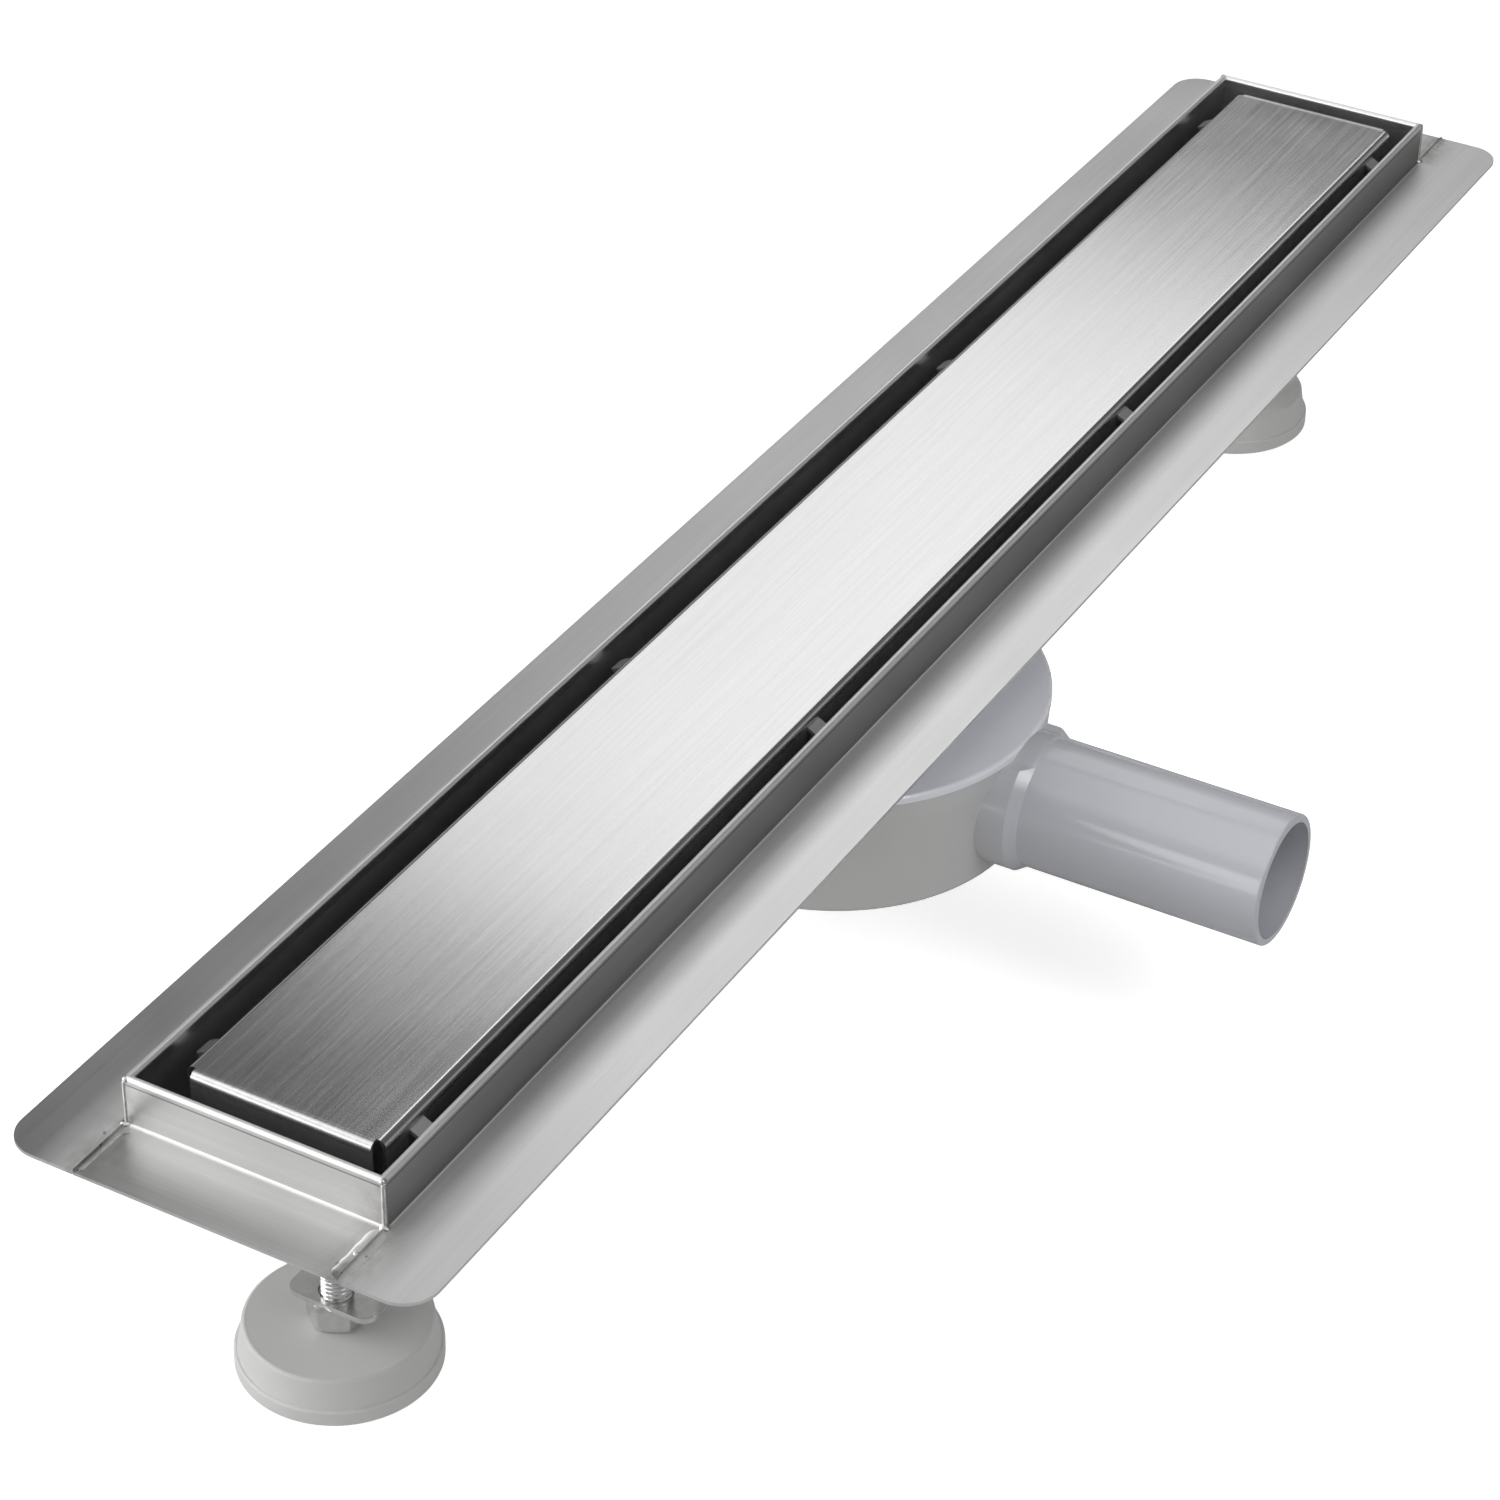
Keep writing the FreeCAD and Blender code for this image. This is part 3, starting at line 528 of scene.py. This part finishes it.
def weld_seams(end, s):
    """Seams between the channel and one end piece; s is -1 near, +1 far."""
    g, dressed = Shape(), Shape()
    for side in (-1, 1):
        seed = 3 * s + side
        near_right = s < 0 and side > 0
        ground = s < 0 and side < 0
        # along the flange, dressed flat in places
        w, h = (2.9, 0.40) if near_right else (2.2, 0.26) if ground else (2.4, 0.32)
        dressed.bead([(side * 35, s * 300.2, FLANGE - 0.18), (side * 35, s * 319.3, FLANGE - 0.18)],
                     (0, 0, 1), w, h, ripple=0.03, pitch=3.1, seed=seed)
        g.bead([(side * 35, s * 301.2, FLANGE - 0.88), (side * 35, s * 319.0, FLANGE - 0.88)],
               (0, 0, -1), 1.25, 0.42, ripple=0.14, seed=seed + 20)
        # outside corner of the raised rim
        g.bead([(side * 34.66, s * 299.66, FLANGE + 0.2), (side * 34.66, s * 299.66, -0.55)],
               (side, s, 0), 0.62, 0.62, ripple=0.02, pitch=1.3, seed=seed + 40)
        g.blob((side * 34.9, s * 300.0, FLANGE + 0.15), (1.35, 1.35, 0.75), seed=seed)
        g.blob((side * 34.3, s * 299.3, -0.32), (1.0, 1.0, 0.86), seed=seed + 5, lump=0.06)
        g.bead([(side * 34.6, s * 299.6, 0.40), (side * 33.2, s * 298.2, 0.40)],
               (0, 0, 1), 0.36, 0.16, ripple=0.06, seed=seed + 60)
    if s < 0:
        g.blob((34.2, -310.2, FLANGE + 0.05), (0.85, 0.80, 0.62), seed=2)
    # round the outside of the trough's end wall
    u = [(33.3, -15.0), (33.3, -28.9), (32.7, -30.4), (31.2, -31.1)]
    path = [(x, s * 298.75, z) for x, z in u] + [(-x, s * 298.75, z) for x, z in reversed(u)]

    def away(c):
        k = Vector((c.x / 33.3 if abs(c.x) > 32.0 else 0.0, s * 0.8, -1.0 if c.z < -30.0 else 0.0))
        return k.normalized()

    g.bead(path, away, 0.85, 0.42, ripple=0.13, seed=s + 80, step=0.28)
    piece("dressed_seam_" + end, dressed.v, dressed.f, END, sharp=60.0)
    return piece("weld_seam_" + end, g.v, g.f, WELD, sharp=60.0)


weld_seams("near", -1)
weld_seams("far", 1)


def bracket_welds():
    """Two pressed spots under each bracket's top plate and a short seam each side."""
    g = Shape()
    for y0, side in FEET.values():
        zt = FLOOR - 0.9 - 1.5
        for k, (px, py) in enumerate(((-5.0, 22.5), (7.0, 22.5))):
            at = (px, y0 + side * py)
            g.lathe([(0.0, zt - 0.10), (1.0, zt - 0.08), (1.9, zt - 0.02), (2.4, zt - 0.16),
                     (2.8, zt - 0.19), (3.1, zt - 0.10), (3.3, zt + 0.15), (0.0, zt + 0.3)],
                    n=36, at=at)
        for x in (-11.15, 13.15):
            g.bead([(x, y0 + side * 17.0, FLOOR - 1.25), (x, y0 + side * 29.5, FLOOR - 1.25)],
                   (-1.0 if x < 0 else 1.0, 0, -1.0), 0.95, 0.62, ripple=0.14,
                   seed=int(y0) + int(x))
    return piece("bracket_welds", g.v, g.f, WELD, sharp=60.0)


bracket_welds()


def mould_marks():
    """Injection gate under the trap bowl, with the rings of the mould insert."""
    g = Shape()
    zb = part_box("trap_body")[0][2] / MM
    g.lathe([(0.0, zb - 0.30), (1.1, zb - 0.34), (1.7, zb - 0.22), (1.9, zb + 0.2),
             (0.0, zb + 0.4)], n=40, at=(0.0, TRAP_Y))
    return g, zb


g_, zb_ = mould_marks()
piece("trap_gate_mark", g_.v, g_.f, TRAP)


# ---------------------------------------------------------------------------
# stage: pale floor and soft lights
# ---------------------------------------------------------------------------
def floor():
    me = bpy.data.meshes.new("floor")
    s = 12.0
    # low enough for both feet at the end of their 25 mm travel
    zf = PAD_LOW * MM - 0.0252
    me.from_pydata([(-s, -s, zf), (s, -s, zf), (s, s, zf), (-s, s, zf)], [], [(0, 1, 2, 3)])
    o = bpy.data.objects.new("floor", me)
    bpy.context.scene.collection.objects.link(o)
    m = Mat("floor", (0.90, 0.90, 0.90), Roughness=0.95)
    g = m.noise(m.scaled(3.0, 3.0, 3.0), 1.0, 2.0, 0.5)
    m.color(m.mix(m.remap(g, 0.3, 0.7, 0.0, 1.0), (0.89, 0.89, 0.89), (0.91, 0.91, 0.91)))
    m.b.inputs["Emission Color"].default_value = (1, 1, 1, 1)
    m.b.inputs["Emission Strength"].default_value = FLOOR_GLOW
    # the floor gives the object less light than it shows
    dim = m.node("ShaderNodeBsdfDiffuse", Color=(0.62, 0.62, 0.62, 1.0))
    mixer = m.t.nodes.new("ShaderNodeMixShader")
    m.t.links.new(m.t.nodes.new("ShaderNodeLightPath").outputs["Is Camera Ray"], mixer.inputs[0])
    m.t.links.new(dim.outputs[0], mixer.inputs[1])
    m.t.links.new(m.b.outputs[0], mixer.inputs[2])
    m.t.links.new(mixer.outputs[0], m.out.inputs[0])
    me.materials.append(m.m)


def area(name, loc, target, size, radiance, color=(1, 1, 1), size_y=None, spread=180):
    """Soft panel; radiance is its brightness, so its size changes the light it gives."""
    d = bpy.data.lights.new(name, "AREA")
    d.shape = "RECTANGLE"
    d.size = size
    d.size_y = size_y or size
    d.energy = radiance * math.pi * d.size * d.size_y
    d.color = color
    d.spread = math.radians(spread)
    o = bpy.data.objects.new(name, d)
    bpy.context.scene.collection.objects.link(o)
    o.location = loc
    o.rotation_euler = (Vector(target) - Vector(loc)).to_track_quat("-Z", "Y").to_euler()
    o.visible_camera = False
    return o


FLOOR_GLOW = 0.60
WORLD = 0.10
HORIZON = 0.20
floor()
area("panel_back", (-0.585, 1.73, 1.22), (-0.585, 1.73, 0.0), 1.17, 1.03, size_y=1.24)
area("panel_near", (-0.46, 0.81, 1.22), (-0.46, 0.81, 0.0), 0.34, 1.15, size_y=0.68)
area("overhead", (-0.2, -0.9, 3.0), (0, 0, 0), 3.4, 0.65)
area("left_side", (-2.2, -0.9, 0.9), (0, 0, 0), 1.6, 3.4)
area("key", (-1.95, -0.85, 2.1), (0, -0.2, 0), 1.5, 0.9)
area("front_left", (-0.92, -1.40, 1.30), (0, -0.25, 0), 1.0, 0.30)
area("front_low", (-1.2, -2.4, 0.55), (0.0, -0.2, -0.05), 2.2, 2.3, size_y=1.2)
area("right_top", (1.10, -0.55, 1.65), (0.05, -0.03, -0.05), 1.6, 0.7)
area("trap_fill", (0.60, -0.20, 0.50), (0.06, 0.0, -0.05), 0.5, 0.26, spread=40)
area("pipe_strip", (-0.75, -0.96, 1.62), (-0.75, -0.03, -0.05), 0.5, 3.0, size_y=0.04)

world = bpy.data.worlds.new("world")
bpy.context.scene.world = world
world.use_nodes = True
wt = world.node_tree
bg = wt.nodes["Background"]
bg.inputs[0].default_value = (1, 1, 1, 1)
# dim above, lighter towards the horizon and overhead, as in a room with pale walls
place = wt.nodes.new("ShaderNodeTexCoord")
split = wt.nodes.new("ShaderNodeSeparateXYZ")
wt.links.new(place.outputs["Generated"], split.inputs[0])
total = None
for lo_z, hi_z, lo_v, hi_v in ((0.30, 0.46, HORIZON, 0.0), (0.80, 0.92, WORLD, WORLD + 0.15)):
    ramp = wt.nodes.new("ShaderNodeMapRange")
    ramp.interpolation_type = "SMOOTHSTEP"
    wt.links.new(split.outputs[2], ramp.inputs["Value"])
    for key, val in (("From Min", lo_z), ("From Max", hi_z), ("To Min", lo_v), ("To Max", hi_v)):
        ramp.inputs[key].default_value = val
    if total is None:
        total = ramp.outputs[0]
    else:
        plus = wt.nodes.new("ShaderNodeMath")
        wt.links.new(total, plus.inputs[0])
        wt.links.new(ramp.outputs[0], plus.inputs[1])
        total = plus.outputs[0]
wt.links.new(total, bg.inputs[1])
# seen directly, the surroundings are white like the floor
white = wt.nodes.new("ShaderNodeBackground")
white.inputs[0].default_value = (1, 1, 1, 1)
white.inputs[1].default_value = 1.0
path = wt.nodes.new("ShaderNodeLightPath")
pick = wt.nodes.new("ShaderNodeMixShader")
wt.links.new(path.outputs["Is Camera Ray"], pick.inputs[0])
wt.links.new(bg.outputs[0], pick.inputs[1])
wt.links.new(white.outputs[0], pick.inputs[2])
wt.links.new(pick.outputs[0], wt.nodes["World Output"].inputs[0])

bpy.context.scene.view_settings.view_transform = "Standard"
bpy.context.scene.view_settings.look = "None"
bpy.context.scene.view_settings.exposure = 0.0
bpy.context.scene.view_settings.gamma = 1.0
